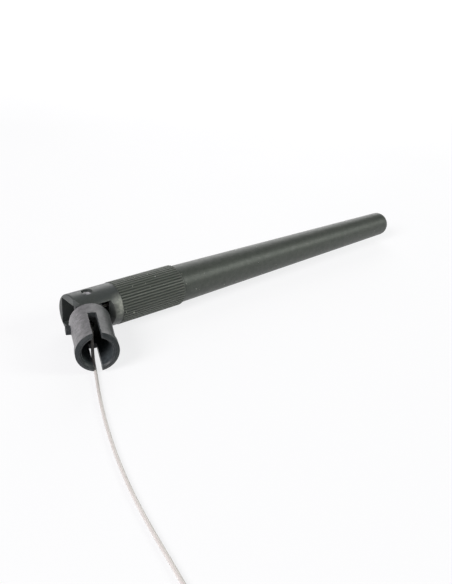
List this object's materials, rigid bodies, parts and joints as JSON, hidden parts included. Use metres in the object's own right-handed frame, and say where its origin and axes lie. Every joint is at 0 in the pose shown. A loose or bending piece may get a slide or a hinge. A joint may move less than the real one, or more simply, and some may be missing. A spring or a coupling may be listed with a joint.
{
  "type": "folding omnidirectional antenna",
  "caption": "Tapered rod antenna with a fluted grip, folding on a split snap-in stem, with a thin coax pigtail from the stem's open mouth.",
  "frame": {"origin": "centre of the stem's open mouth", "axes": "+Y runs up the stem from its mouth to the hinge pin, +Z is along the hinge pin and points up as the part lies, +X is the side that the antenna folds to"},
  "size_m": [0.1192, 0.1528, 0.0115],
  "materials": {
    "grey_nylon": "satin moulded",
    "grey_pin": "satin moulded",
    "dark_nylon": "satin moulded",
    "dark_elastomer": "satin moulded",
    "coax_jacket": "smooth extruded",
    "tinned_braid": "braided",
    "white_dielectric": "smooth",
    "copper_wire": "drawn",
    "brass_tube": "drawn",
    "solder": "flowed",
    "black_shrink": "smooth",
    "foam_ring": "moulded",
    "potting": "cast",
    "gold_plate": "plated"
  },
  "bodies": {
    "stem_body": {"stem": "grey_nylon", "upper_pivot_pin": "grey_pin", "lower_pivot_pin": "grey_pin", "coax_hinge_bend": "coax_jacket", "coax_tail": "coax_jacket", "coax_coil": "coax_jacket", "coil_tie": "black_shrink", "plug_shell": "gold_plate", "plug_insulator": "white_dielectric", "plug_contact": "gold_plate", "plug_wire": "white_dielectric"},
    "antenna_body": {"clevis": "dark_nylon", "radome": "dark_elastomer", "coax_jacket": "coax_jacket", "coax_braid": "tinned_braid", "coax_dielectric": "white_dielectric", "coax_conductor": "copper_wire", "dipole_sleeve": "brass_tube", "sleeve_bush": "white_dielectric", "solder_collar": "solder", "radiator_rod": "brass_tube", "feed_shrink_tube": "black_shrink", "lower_centring_ring": "foam_ring", "upper_centring_ring": "foam_ring", "potting_plug": "potting"}
  },
  "joints": [
    {"name": "fold", "type": "hinge", "parent": "stem_body", "child": "antenna_body", "pos_m": [0, 0.02125, 0], "axis": [0, 0, 1], "range_deg": [-24.4, 65.6], "deforming": ["coax_hinge_bend"]}
  ]
}
